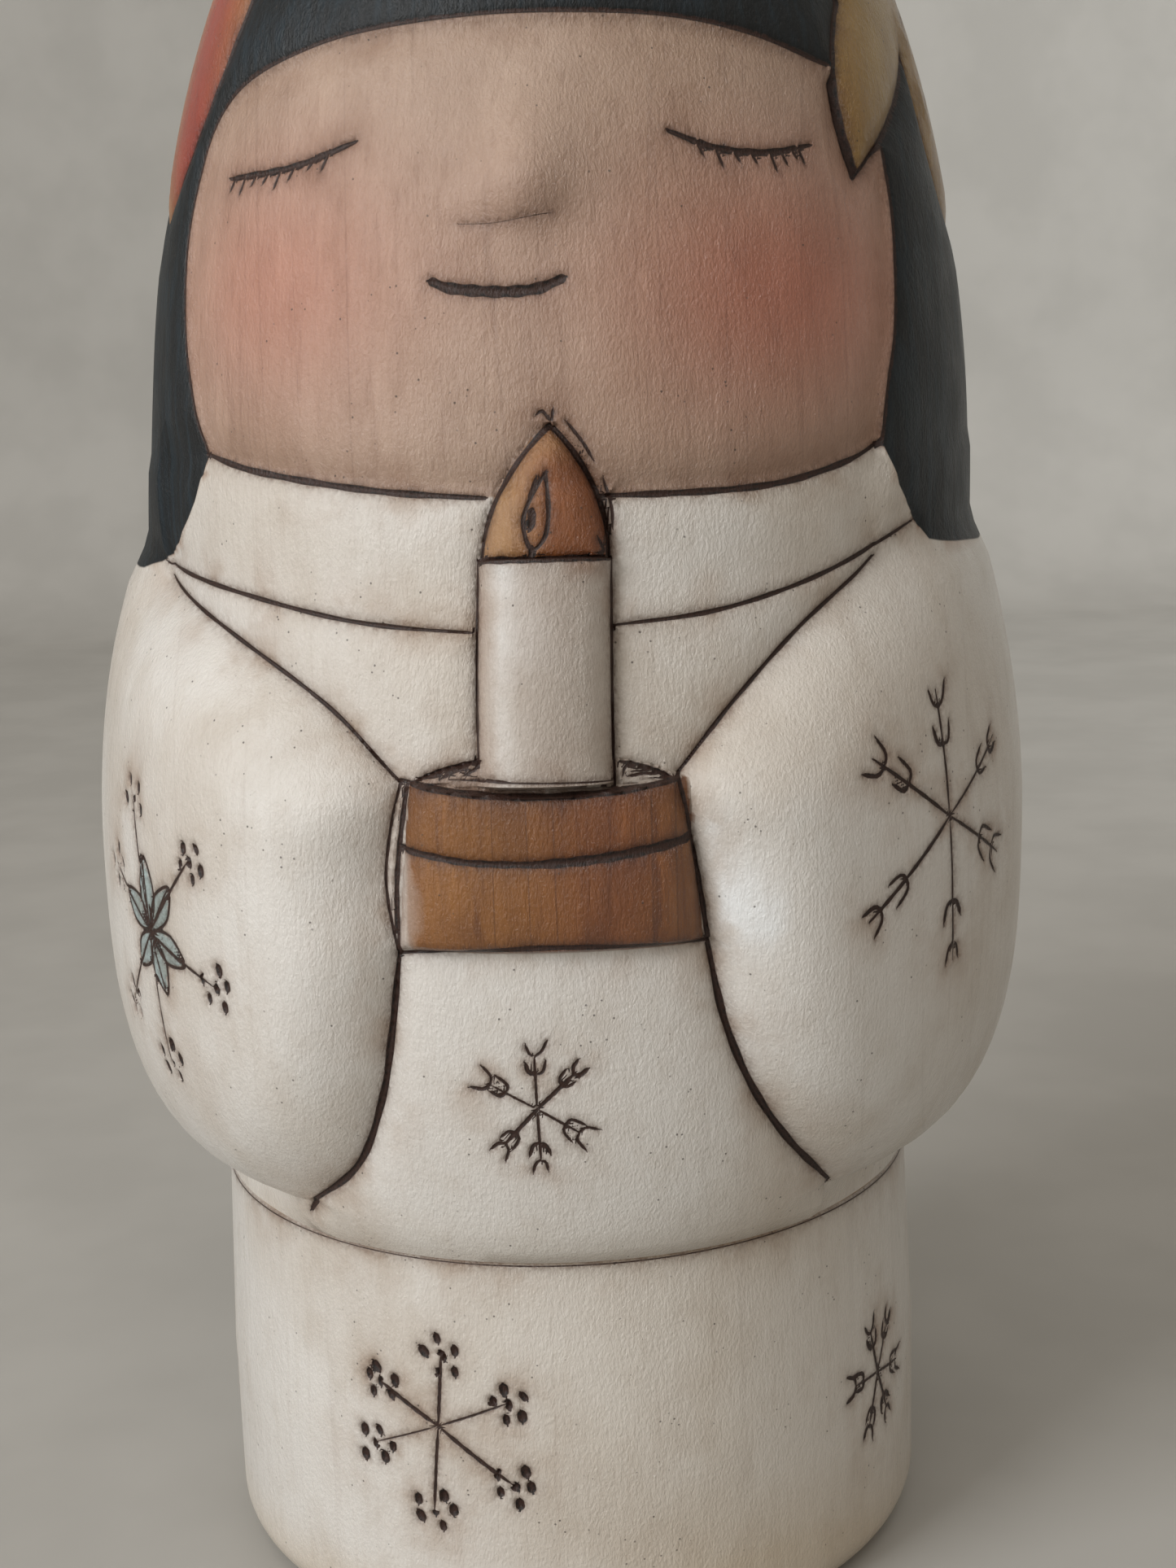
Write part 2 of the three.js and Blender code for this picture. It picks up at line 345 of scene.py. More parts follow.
def cup_relief(angle, z):
    u = (angle - CUP_ANGLE) / cup_half(z)
    wall = pillow(u, 5, 0.5) * smooth(CUP_FOOT - 0.3, CUP_FOOT + 0.9, z)
    wall = wall * (1 - smooth(-0.1, 0.5, z - cup_front_rim(angle)))
    lip = pillow(u, 4, 0.5) * (z > cup_front_rim(angle)) * (z < cup_back_rim(angle))
    return 2.5 * wall + 0.7 * lip


def nose_relief(angle, z):
    x = across(angle, NOSE[0], z)
    spread = np.where(z > NOSE[1], 7.5, 3.6)
    return 3.0 * np.exp(-((x / 4.6) ** 2) - ((z - NOSE[1]) / spread) ** 2)


# The hair's edge round the face, from one end of the chin to the other.
FACE_EDGE = [(-49.7, 140.8), (-52.4, 146), (-55.8, 153), (-57.5, 160), (-57.7, 165.4), (-56, 171),
             (-53, 176.5), (-46.3, 180.6), (-34, 183.3), (-20.6, 184.9), (0, 185.6), (20, 185), (34, 183.2),
             (47, 180.2), (53.5, 176), (56.5, 170), (56.5, 165), (55.4, 158), (54, 152), (51.5, 146),
             (50, 140.2)]


def polar(angle, z):
    """Direction and distance in millimetres, on the face, from its middle."""
    x, y = 0.8 * np.asarray(angle), np.asarray(z) - FACE_MIDDLE
    return np.degrees(np.arctan2(y, x)), np.hypot(x, y)


def face_margin(angle, z):
    """Millimetres in from the edge of the face; below 0 outside it."""
    jaw = [(a, chin(a)) for a in range(40, -41, -8)]
    ring = np.vstack([curve(FACE_EDGE), jaw])
    direction, radius = polar(ring[:, 0], ring[:, 1])
    order = np.argsort(direction)
    towards, distance = polar(angle, z)
    return np.interp(towards, direction[order], radius[order], period=360) - distance


def hair_hem(angle):
    """Lower edge of the hair: it drops from the ends of the chin to the shoulders."""
    left = [(-180, 126.5), (-72, 126.6), (-68, 127.5), (-64, 128.7), (-60, 130.4), (-56, 133), (-51.5, 137),
            (JAW[0], 140.9)]
    right = [(JAW[1], 140.1), (52.5, 136), (56.3, 132.2), (60.1, 128.8), (66, 128), (79.5, 127),
             (180, 126.5)]
    return np.interp(angle, *zip(*left, *right))


def neckline(angle):
    """Where the head ends and the dress begins."""
    return np.where((angle > JAW[0]) & (angle < JAW[1]), chin(angle), hair_hem(angle))


def relief(angle, z):
    """Everything that stands off the carved block, along its normal."""
    head = z > neckline(angle)
    sunk = smooth(0, 1.6, face_margin(angle, z)) * head * (1 - smooth(-0.4, 0.6, cap_margin(angle, z)))
    hair = smooth(0, 1.2, z - neckline(angle)) * (np.abs(angle) > 48)
    raised = np.maximum(candle_relief(angle, z), cup_relief(angle, z))
    return raised + nose_relief(angle, z) * head - 0.75 * sunk + 0.3 * hair * (z < SHOULDER + 10)


# --- Burnt lines ---


@dataclass
class Stroke:
    """A burnt line: its place as (angle, height) points, its width, and how deep it and its valley go."""

    points: list
    width: float = 0.66
    depth: float = 0.28
    valley: float = 0.0
    taper: float = 0.25
    smooth: bool = True


def leaf_edge(start, end, bulge):
    """One side of a pointed leaf between two corners, bowed by bulge times its length."""
    a, b = np.array(start, float), np.array(end, float)
    middle = (a + b) / 2 + bulge * np.array([-(b - a)[1], (b - a)[0]])
    t = np.linspace(0, 1, 12)[:, None]
    return (1 - t) ** 2 * a + 2 * t * (1 - t) * middle + t**2 * b


# The hem of the leaf cap as corners (angle, height), tips down and notches up, with how each side bows.
CAP_CORNERS = [
    (-180, 158, 0.12), (-154, 186, 0.12), (-126, 162, 0.12), (-99, 185, 0.12), (-76, 165.5, -0.22),
    (-50.5, 190.5, -0.1), (-6, 209, -0.06), (44, 200, -0.1), (54, 187.3, -0.38), (50, 168.8, -0.02),
    (74, 182.6, -0.5), (90, 162, 0.12), (114, 185, 0.12), (138, 164, 0.12), (159, 186, 0.12), (180, 158, 0),
]
CAP_CROWN = 224.6
VEINS_END = 218  # height above which the leaves have no side veins


@dataclass
class Leaf:
    """A leaf: its tip's place, the angle where its colour is deepest, and whether its veins are burnt."""

    angle: float
    tip: float
    middle: float
    shade: str
    veined: bool = True


LEAVES = [
    Leaf(-180, 158, -180, "9c8a3e"), Leaf(-126, 162, -126, "b06a2c"),
    Leaf(-76, 165.5, -63, "a22e1c", False), Leaf(-27, 199, -27, "b07a34"), Leaf(21, 203, 21, "8f8440"),
    Leaf(50, 168.8, 47, "8f6c30", False), Leaf(90, 162, 90, "8f6c38"), Leaf(138, 164, 138, "a3552a"),
]


def cap_hem():
    sides = [leaf_edge(a[:2], b[:2], a[2]) for a, b in zip(CAP_CORNERS, CAP_CORNERS[1:])]
    return np.vstack(sides)


def cap_margin(angle, z):
    """Millimetres inside the cap's hem; below 0 outside it."""
    doll = DOLLS[0]
    hem = cap_hem()
    ring = np.vstack([[(-180, 240)], hem, [(180, 240)]])
    near = Near(resampled(on_cylinder(side_radius(doll, hem[:, 1]), hem[:, 0], hem[:, 1]), 0.3))
    distance = near(on_cylinder(side_radius(doll, z), angle, z))[1]
    return np.where(inside(ring, angle, z), distance, -distance)


def cap_strokes():
    """The cap's outline, and the veins of its leaves."""
    strokes = []
    for a, b in zip(CAP_CORNERS, CAP_CORNERS[1:]):
        strokes.append(Stroke(leaf_edge(a[:2], b[:2], a[2]), 0.85, 0.35, 0.75, 1, smooth=False))
    for leaf in LEAVES:
        if not leaf.veined:
            continue
        rib = [(leaf.angle, leaf.tip + 6), (leaf.angle, CAP_CROWN)]
        strokes.append(Stroke(rib, 0.5, 0.22, 0.2, 0.3))
        first = 11 if leaf.tip > 190 else 20  # a long leaf has no side veins near its narrow tip
        for rise in range(first, int(VEINS_END - leaf.tip), 9):
            for way in (-1, 1):
                end = (leaf.angle + way * (7 + 0.16 * rise), leaf.tip + rise - 5)
                strokes.append(Stroke([(leaf.angle, leaf.tip + rise), end], 0.36, 0.15, 0.0, 0.2))
    return strokes


def eye_strokes(lid, lashes, swing):
    """A closed eyelid and the lashes under it. lashes are angles; swing tilts their tips outward."""
    line = curve(lid)
    strokes = [Stroke(lid, 0.8, 0.25, 0.0, 0.5)]
    for i, angle in enumerate(lashes):
        z = np.interp(angle, line[:, 0], line[:, 1])
        drop = 1.5 + 0.5 * math.sin(1.9 * i)
        strokes.append(Stroke([(angle, z), (angle + swing, z - drop)], 0.34, 0.12, 0.0, 0.15))
    return strokes


def face_strokes():
    mouth = [(-11.4, 158.9), (-9, 158.2), (-3, 157.7), (1.8, 157.9), (4.9, 158.8)]
    strokes = [
        Stroke(FACE_EDGE[:14], 0.5, 0.2, 0.45, 1),
        Stroke([(56.2, 172), *FACE_EDGE[15:]], 0.5, 0.2, 0.45, 1),
        Stroke(CHIN[:5], 0.72, 0.32, 0.5, 0.6),
        Stroke(CHIN[5:], 0.72, 0.32, 0.5, 0.6),
        Stroke(mouth, 1.2, 0.3, 0.0, 0.75),
        Stroke([(-8, 164.6), (-2.9, 164.5), (3.9, 165.2)], 0.04, 0.12, 0.2, 0.1),
    ]
    left_lid = [(-46.8, 170.6), (-37.7, 170.9), (-31, 171.6), (-23.1, 173.4)]
    right_lid = [(19.6, 173.3), (26.1, 171.5), (34, 171), (41.2, 171.8)]
    strokes += eye_strokes(left_lid, (-45.4, -43, -40.5, -38, -35.6, -33, -29.6, -27.2), -1.2)
    strokes += eye_strokes(right_lid, (23.4, 26, 28.6, 31.2, 34.2, 36, 37.8, 39), 0.9)
    return strokes


def dress_strokes():
    """The collar, the sleeves and the hem of the hair."""
    return [
        Stroke([(-65.5, 128), (-42, 126.2), (-21.5, 123.9), (-6.5, 123)], 0.52, 0.25, 0.25, 0.5),
        Stroke([(11, 123.4), (25.4, 124.4), (43.6, 127.7), (57, 131.2)], 0.52, 0.25, 0.25, 0.5),
        Stroke(LEFT_SLEEVE[:4], 0.5, 0.28, 0.5, 0.7),
        Stroke(RIGHT_SLEEVE[:4], 0.5, 0.28, 0.5, 0.7),
        Stroke(LEFT_SLEEVE[3:6], 0.36, 0.2, 0.4, 0.9),
        Stroke(RIGHT_SLEEVE[3:6], 0.6, 0.28, 0.3, 0.9),
        Stroke(LEFT_SLEEVE[5:], 0.85, 0.35, 0.8, 0.6),
        Stroke(RIGHT_SLEEVE[5:], 0.85, 0.35, 0.8, 0.6),
    ]


def candle_strokes():
    left, right = CANDLE_ANGLE - 8.3, CANDLE_ANGLE + 8.2
    span = np.linspace(-1, 1, 25)
    height = CANDLE_TOP + FLAME_HEIGHT * (1 - np.abs(span))
    half = flame_half(height) * np.sign(span)
    turn = CANDLE_ANGLE + 0.6 * (1 - np.abs(span)) + np.degrees(half / CHEST_RADIUS)
    flame = np.column_stack([turn, height])
    brim = [(left + 0.4, CANDLE_TOP), (2, CANDLE_TOP - 0.3), (right - 0.2, CANDLE_TOP)]
    drop = [(2.6, 139.4), (0.9, 136.8), (0.1, 134.2), (1.1, 131.4), (2.6, 132.8), (3, 135.6), (2.6, 139.4)]
    scribbles = [
        [(3.1, 144.6), (2.2, 145.6), (1.4, 145.2)], [(3.5, 145.8), (3.3, 144.4)],
        [(5, 144.6), (7, 142.4), (8.4, 140.4)], [(9.6, 138.6), (10.6, 135.6), (10.8, 133.2)],
        [(8.8, 132.6), (9.6, 131), (8.6, 130.8)],
    ]
    return [
        *[Stroke(points, 0.34, 0.2, 0.1, 0.3) for points in scribbles],
        Stroke([(left, CANDLE_TOP), (left + 0.2, 118), (left + 0.4, 109)], 0.5, 0.3, 0.55, 0.7),
        Stroke([(right, CANDLE_TOP), (right, 118), (right, CANDLE_FOOT)], 0.4, 0.3, 0.55, 0.6),
        Stroke(flame, 0.62, 0.35, 0.5, 0.8, smooth=False),
        Stroke(brim, 1.15, 0.3, 0.2, 0.8),
        Stroke(drop, 0.46, 0.18, 0.0, 0.8),
        Stroke([(1.1, 131.6), (1.1, 130.6)], 0.7, 0.2, 0.0, 1),
        Stroke([(1.1, 135.6), (1, 133.9)], 0.8, 0.25, 0.0, 0.7),
        Stroke([(1.6, 139), (0.7, 136.6)], 0.4, 0.15, 0.0, 0.4),
    ]


def cup_strokes():
    rim = [(a, cup_front_rim(a)) for a in (-15.4, -9, -3, 3, 9, 14, 17.8)]
    band = [(-15.3, 100.1), (-11, 99.6), (-6, 99), (1, 98.8), (7, 99.1), (13, 99.7), (19.5, 100.6)]
    foot = [(-16, 88.2), (-6, 89.3), (2, 89.8), (12, 89.5), (21.5, 88.8)]
    left_back = [(-13.8, 107.1), (-9.8, 108.5), (-5, 109.6)]
    right_back = [(11.4, 109.1), (15, 108.1), (17.6, 107)]
    scribbles = [
        [(-13, 107.6), (-10.4, 107.9), (-9.6, 108.3)], [(-10, 107.6), (-7.6, 108.6), (-5.6, 108.5)],
        [(-7, 108), (-5.4, 109), (-6.4, 109.3)], [(-6, 107.7), (-3.4, 107.6), (-1, 107.4)],
        [(11.6, 107.6), (12, 108.6), (13.4, 108.2)], [(12.2, 107.5), (14.2, 107.7), (15.6, 107.5)],
    ]
    return [
        *[Stroke(points, 0.34, 0.2, 0.05, 0.4) for points in scribbles],
        Stroke(rim, 0.7, 0.3, 0.2, 0.7),
        Stroke([(-9, 107.6), (0, 107.4), (10.7, 107.2)], 0.2, 0.15, 0.0, 0.5),
        Stroke(band[:4], 0.75, 0.3, 0.25, 0.9),
        Stroke(band[3:], 1.05, 0.3, 0.25, 0.8),
        Stroke(foot, 0.6, 0.3, 0.5, 0.7),
        Stroke(left_back, 0.6, 0.3, 0.2, 0.4),
        Stroke(right_back, 0.6, 0.3, 0.2, 0.4),
        Stroke([(-14.6, 106.4), (-15.8, 99), (-16.2, 94), (-16, 88.2)], 0.6, 0.3, 0.2, 0.9),
    ]


# --- Snowflakes ---


def local_strokes(centre, radius, lines):
    """Strokes drawn flat in millimetres, right and up from the centre, laid on the doll there."""
    scale = math.degrees(1 / radius)
    return [
        Stroke([(centre[0] + x * scale, centre[1] + y) for x, y in points], *rest)
        for points, *rest in lines
    ]


def ray(angle, length):
    return np.array([math.cos(math.radians(angle)), math.sin(math.radians(angle))]) * length


def uneven(seed):
    """A number from -1 to 1 that varies from place to place, as a hand does."""
    return math.sin(12.9 * seed + 4.1 * math.sin(3.3 * seed))


def barbed_snowflake(centre, radius, arms, barb, width=0.4, prongs=False):
    """Arms as (direction, length, width), each with two pairs of barbs like the flight of an arrow."""
    lines = []
    for i, (direction, length, arm_width) in enumerate(arms):
        tip = ray(direction, length + 0.7 * barb * prongs)
        lines.append(([(0, 0), tuple(tip)], arm_width, 0.2, 0.0, 0.45))
        for k, share in enumerate((0.66, 1.0)):
            for way in (-1, 1):
                seed = 7 * i + 3 * k + way
                root = ray(direction, length * share)
                reach = barb * (1 + 0.22 * uneven(seed))
                middle = root + ray(direction + way * (62 + 9 * uneven(seed + 0.5)), reach * 0.42)
                end = root + ray(direction + way * (32 + 8 * uneven(seed + 0.3)), reach)
                thick = width * (1.25 + 0.3 * uneven(seed + 0.7))
                lines.append(([tuple(root), tuple(middle), tuple(end)], thick, 0.24, 0.0, 0.45))
    return local_strokes(centre, radius, lines)


def dotted_snowflake(centre, radius, arms, reach, dot=0.85):
    """Arms as (direction, length, width) that each end in a dot with five more round it."""
    lines = []
    for i, (direction, length, width) in enumerate(arms):
        tip = ray(direction, length)
        lines.append(([(0, 0), tuple(tip)], width, 0.15, 0.0, 0.3))
        spots = [tip]
        for k in range(5):
            seed = 5 * i + k
            towards = direction + 72 * k + 14 * uneven(seed) + 20
            spots.append(tip + ray(towards, reach * (1 + 0.16 * uneven(seed + 0.4))))
        for k, spot in enumerate(spots):
            size = dot * (1 + 0.16 * uneven(i + 6 * k))
            tail = spot + ray(-68 + 18 * uneven(k + i), 0.42)
            lines.append(([tuple(spot), tuple(tail)], size, 0.55, 0.0, 1))
    return local_strokes(centre, radius, lines)


def petal_outline(direction, length, half):
    """A pointed petal from the middle of a flower."""
    along, side = ray(direction, 1), ray(direction + 90, 1)
    steps = [(0, 0), (0.3, 0.8), (0.62, 1), (1, 0), (0.62, -1), (0.3, -0.8), (0, 0)]
    return [tuple(along * length * t + side * half * s) for t, s in steps]


PETALS = [(98, 8.8), (51, 7.8), (-19, 7.8), (-68, 7.4), (-127, 5.8), (149, 7.5)]
PETAL_HALF = 1.7
FLOWER = (-51, 87.3)
FLOWER_ARMS = [(104, 15.8, 0.3), (47, 13.6, 0.4), (-17, 13.4, 0.36), (-86, 15.4, 0.26), (148, 11.5, 0.34),
               (-128, 12.3, 0.34)]
SLEEVE_RADIUS = 57.5


def petal_star(centre, radius):
    lines = []
    for direction, length in PETALS:
        lines.append((petal_outline(direction, length, PETAL_HALF), 0.4, 0.22, 0.1, 1))
        lines.append(([(0, 0), tuple(ray(direction, length))], 0.32, 0.15, 0.0, 0.6))
    return local_strokes(centre, radius, lines)


WOBBLE = 0.12  # unevenness of the arms that are not placed one by one


def evenly(length, first=90.0):
    """Six arms all round, their lengths, directions and widths a little uneven, as a hand draws them."""
    arms = []
    for i in range(6):
        direction = first - 60 * i + 40 * WOBBLE * math.sin(2.3 * i + first)
        arms.append((direction, length * (1 + WOBBLE * math.sin(3.7 * i)), 0.36 * (1 + 0.3 * uneven(i))))
    return arms


def dress_snowflakes():
    """Snowflakes on the belly, the sleeves and the back of the dress."""
    belly = [(91, 6.2, 0.32), (45, 5.8, 0.5), (-33, 5.4, 0.32), (-88, 6.2, 0.34), (-131, 5.6, 0.5),
             (150, 5.8, 0.28)]
    sleeve = [(92, 12.2, 0.36), (29, 12, 0.34), (-29, 11.6, 0.4), (-87, 14.8, 0.32), (-146, 14.6, 0.52),
              (146, 13, 0.46)]
    return [
        *barbed_snowflake((0.4, 70.7), 50, belly, 1.9, 0.36),
        *barbed_snowflake((53, 99), SLEEVE_RADIUS, sleeve, 2.9, 0.42, True),
        *dotted_snowflake(FLOWER, SLEEVE_RADIUS, FLOWER_ARMS, 2.1),
        *petal_star(FLOWER, SLEEVE_RADIUS),
        *barbed_snowflake((176, 92), 52, evenly(12), 3.0, 0.46, True),
        *dotted_snowflake((130, 78), 55, evenly(9, 70), 1.9),
        *barbed_snowflake((-128, 104), 54, evenly(7, 80), 2.4),
    ]


def cup_snowflakes(doll):
    """Snowflakes round the lower half, and the dark line where it meets the upper one."""
    radius = doll.cup / doll.scale
    front = [(86, 8.9, 0.44), (23, 9.3, 0.3), (-36, 11, 0.52), (-95, 10.8, 0.4), (-157, 9.4, 0.2),
             (151, 8.8, 0.56)]
    side = [(104, 5.8, 0.5), (58, 6.2, 0.42), (-10, 6, 0.4), (-66, 6.4, 0.5), (-110, 6.6, 0.5),
            (176, 5.4, 0.36)]
    joint = (doll.seam - GAP) / doll.scale - 0.2
    return [
        Stroke([(-180, joint), (-60, joint), (60, joint), (180, joint)], 0.14, 0.05, 0.0, 1),
        *dotted_snowflake((-16.4, 29.1), radius, front, 2.1, 0.95),
        *barbed_snowflake((61.4, 25.1), radius, side, 2.2, 0.5),
        *barbed_snowflake((-86, 24), radius, evenly(7, 96), 2.4, 0.5),
        *dotted_snowflake((136, 28), radius, evenly(8.6, 75), 1.9),
        *barbed_snowflake((-152, 27), radius, evenly(7.6, 88), 2.6, 0.5),
    ]


# --- Colours ---

DRESS = colour("dedad4")
# A warm, darker colour: painted shade on the dress, and stains on the lower half.
WARM_SHADE_AND_STAIN = colour("d0c2ae")
SKIN = colour("b09785")
BLUSH = colour("b46a53")
CUP_BROWN = colour("885724")
CUP_RED = colour("763c14")
WAX = colour("cfc9c3")
# A darker wax colour for the middle of the candle.
WAX_DARK = colour("9c8c80")
FLAME = colour("8a4f22")
FLAME_LIGHT = colour("b08a5e")
ICE = colour("a9c3c8")
# White paint for the streaks beside the cup, and also a painted highlight on the candle.
WHITEWASH_AND_HIGHLIGHT = colour("f4f8fa")
LEAF_EDGE = colour("a28a50")

DRESS_GRAIN = 0.4  # how strongly the wood's grain shows through the dress's paint
# The right blush is wider and stronger than the left: it is blush, and also painted shade over the right
# side of the face.
BLUSH_AND_SHADE = [(-36, 159, 18.5, 0.6), (35, 157, 19, 0.84)]  # each blush's angle, height, width and strength


def paint_figure(angle, z):
    """Linear colour and wood grain at each place on the outside of an upper half."""
    tint = np.tile(DRESS, (len(z), 1))
    grain = np.full(len(z), DRESS_GRAIN)

    def lay(mask, value, strength=1.0, wood=None):
        tint[:] = cover(tint, value, np.asarray(mask, float) * strength)
        if wood is not None:
            grain[:] = np.where(np.asarray(mask, float) > 0.5, wood, grain)

    head = z > neckline(angle)
    face = head & (np.abs(angle) < FACE_SIDE)
    lay(head, SKIN, 1, 1.0)
    # Blush on the cheeks, the right one also painted shade on the right of the face.
    for centre, height, wide, strength in BLUSH_AND_SHADE:
        spot = np.exp(-((across(angle, centre, z) / wide) ** 2 + ((z - height) / 13.5) ** 2))
        lay(face * spot, BLUSH, strength)
    # Painted shade: the dress is warmer and darker just above the seam under the sleeves, and round the
    # sides and back at the waist.
    behind = smooth(50, 100, np.abs(angle))
    warm_shade = 0.3 * smooth(60, 50, z) + 0.35 * bell(z - WAIST, 30) * behind
    lay(~head * warm_shade, WARM_SHADE_AND_STAIN, 0.7)

    u = np.abs(angle - CUP_ANGLE) / cup_half(z)
    cup = (u < 1) & (z > CUP_FOOT) & (z < cup_front_rim(angle))
    lay(cup, CUP_BROWN, 1, 3.2)
    lay(cup * bell(angle - 10, 8), CUP_RED, 0.7)
    lay(cup * smooth(-13.4, -14.4, angle) * smooth(101, 99, z), DRESS, 0.65)
    lip = (u < 1) & (z >= cup_front_rim(angle)) & (z < cup_back_rim(angle)) & (angle < CANDLE_ANGLE)
    lay(lip, CUP_BROWN, 0.5)

    x = across(angle, CANDLE_ANGLE, z)
    spill = smooth(1.6, 0, x - flame_half(z)) * (x > 0) * (z > CANDLE_TOP) * (z < CANDLE_TOP + FLAME_HEIGHT)
    lay(spill, FLAME, 0.55)
    flame = np.abs(x) < flame_half(z)
    lay(flame, FLAME, 1, 1.2)
    lay(flame * smooth(1.5, -4.5, x), FLAME_LIGHT, 0.8)
    lay(flame * smooth(2.2, 6, x), CUP_RED, 0.5)
    lay(flame * smooth(CANDLE_TOP + 9, CANDLE_TOP + 13, z), FLAME_LIGHT, 0.5)
    candle = (np.abs(x) < CANDLE_HALF) & (z > CANDLE_FOOT) & (z < CANDLE_TOP)
    lay(candle, WAX, 1)
    # The candle is a little darker down its middle, just right of centre.
    lay(candle * bell(x - 0.6, 3.2), WAX_DARK, 0.4)
    # Painted highlight: a light strip down the left side of the candle.
    lay(candle * bell(x + 3.9, 1.1), WHITEWASH_AND_HIGHLIGHT, 0.5)
    lay(candle * np.exp(-(((x - 4.2) / 2.4) ** 2) - ((z - CANDLE_TOP + 1.5) / 1.6) ** 2), CUP_BROWN, 0.6)
    lay(candle * smooth(-4.5, -6.8, x), SKIN, 0.5)

    for start, wide in ((21.6, 0.5), (23.6, 0.9), (25.8, 0.5)):
        beside = (angle - start - 0.12 * (106 - z)) / wide
        lay(np.exp(-(beside**2)) * smooth(86, 92, z) * smooth(108, 104, z), WHITEWASH_AND_HIGHLIGHT, 0.9)

    scale = math.degrees(1 / SLEEVE_RADIUS)
    for direction, length in PETALS:
        shape = np.array(petal_outline(direction, length, PETAL_HALF))
        places = np.column_stack([FLOWER[0] + shape[:, 0] * scale, FLOWER[1] + shape[:, 1]])
        lay(inside(places, angle, z), ICE, 0.9)
    return tint, grain


def paint_leaves(angle, z):
    """Colour of the leaf cap, as if it covered everything."""
    tint = np.tile(LEAF_EDGE, (len(z), 1))
    for leaf in LEAVES:
        offset = (angle - leaf.middle + 180) % 360 - 180
        wide = 21 if leaf.veined else 14
        weight = bell(offset, wide) * smooth(leaf.tip - 8, leaf.tip + 6, z) * 0.95
        tint = cover(tint, colour(leaf.shade), weight)
    return tint


def paint_cup(angle, z):
    """The dress goes on down over the lower half, warmer and darker towards the foot, with a warm stain on
    the right near the foot and painted shade over the front right.
    """
    stain = smooth(12, 2, z) * 0.6 + 0.75 * bell(angle - 38, 26) * smooth(24, 4, z)
    # Painted shade: a broad warm darkening over the front right of the lower half.
    stain = np.minimum(stain + 0.35 * bell(angle - 20, 34), 1)
    return cover(DRESS, WARM_SHADE_AND_STAIN, stain), np.full(len(z), DRESS_GRAIN)


# --- Meshes ---


VALLEY_REACH = 2.3  # how far the soft valley round a line spreads
FAR = 20.0  # the value of a distance where nothing is painted


def turned_rows(outline, step):
    """Rows along an outline of (radius, height) corners, at most step apart."""
    p = np.array(outline, float)
    parts = []
    for a, b in zip(p, p[1:]):
        count = max(1, math.ceil(np.linalg.norm(b - a) / step))
        parts.append(a + (b - a) * np.linspace(0, 1, count, endpoint=False)[:, None])
    return np.vstack([*parts, p[-1:]])


def quarter(centre_radius, centre_height, wide, tall, start, end, steps):
    t = np.radians(np.linspace(start, end, steps))
    return np.column_stack([centre_radius + wide * np.cos(t), centre_height + tall * np.sin(t)])


def outside_rows(doll, step):
    """Rows up the outside of an upper half, evenly spaced along its surface."""
    t = np.linspace(0, 1, 4000)
    z = doll.seam / doll.scale + (FIGURE_HEIGHT - doll.seam / doll.scale) * np.sin(t * math.pi / 2)
    z[0] += GAP / 2 / doll.scale
    return resampled(np.column_stack([side_radius(doll, z), z * doll.scale]), step)


def upper_outline(doll):
    """Inside of the hollow from its top down to the rim; the outside follows it."""
    socket = doll.spigot + GAP
    bore = doll.mouth + 0.01 * doll.cup
    ledge = doll.seam + doll.lip + GAP
    spring = doll.seam + 0.5 * (doll.dome - doll.seam)
    dome = quarter(0, spring, bore, doll.dome - spring, 90, 0, 24)
    dome[0, 0] = 0
    bottom = doll.seam + GAP / 2
    edge = 0.25
    rim = [(bore, ledge), (socket, ledge), (socket, bottom + edge), (socket + edge, bottom)]
    return np.vstack([dome, rim])


def lower_outline(doll):
    """Foot, outside, spigot and hollow of a lower half, and where its paint starts and ends."""
    corner = doll.cup * CORNER
    shoulder = doll.seam - GAP / 2
    top = doll.seam + doll.lip
    chamfer = 0.06 * doll.lip
    fillet = 0.12 * doll.mouth
    foot = np.vstack([[(0, 0)], quarter(doll.cup - corner, corner, corner, corner, -90, 0, 10)])
    belly = [(doll.cup, doll.seam * 0.5)]
    wall = [(doll.rim + 0.04, shoulder - 0.35), (doll.rim - 0.25, shoulder)]
    spigot = [(doll.spigot, shoulder), (doll.spigot, top - chamfer), (doll.spigot - chamfer, top),
              (doll.mouth + 0.3, top), (doll.mouth, top - 0.3), (doll.mouth, doll.floor + fillet)]
    floor = quarter(doll.mouth - fillet, doll.floor + fillet, fillet, fillet, 0, -90, 6)
    return np.vstack([foot, belly, wall]), np.vstack([spigot, floor, [(0, doll.floor)]])


@dataclass
class Turned:
    """A turned outline as rows, with the stretch of it that is painted."""

    doll: Doll
    rows: np.ndarray
    first: int
    last: int

    def at(self, v):
        """Radius, height and outward normal at row positions v."""
        index = np.arange(len(self.rows))
        slope = np.gradient(self.rows, axis=0)
        normal = np.column_stack([slope[:, 1], -slope[:, 0]])
        normal /= np.maximum(np.linalg.norm(normal, axis=1), 1e-9)[:, None]
        columns = np.column_stack([self.rows, normal])
        return [np.interp(v, index, columns[:, k]) for k in range(4)]

    def painted(self, v):
        return (v >= self.first - 1e-6) & (v <= self.last + 1e-6)


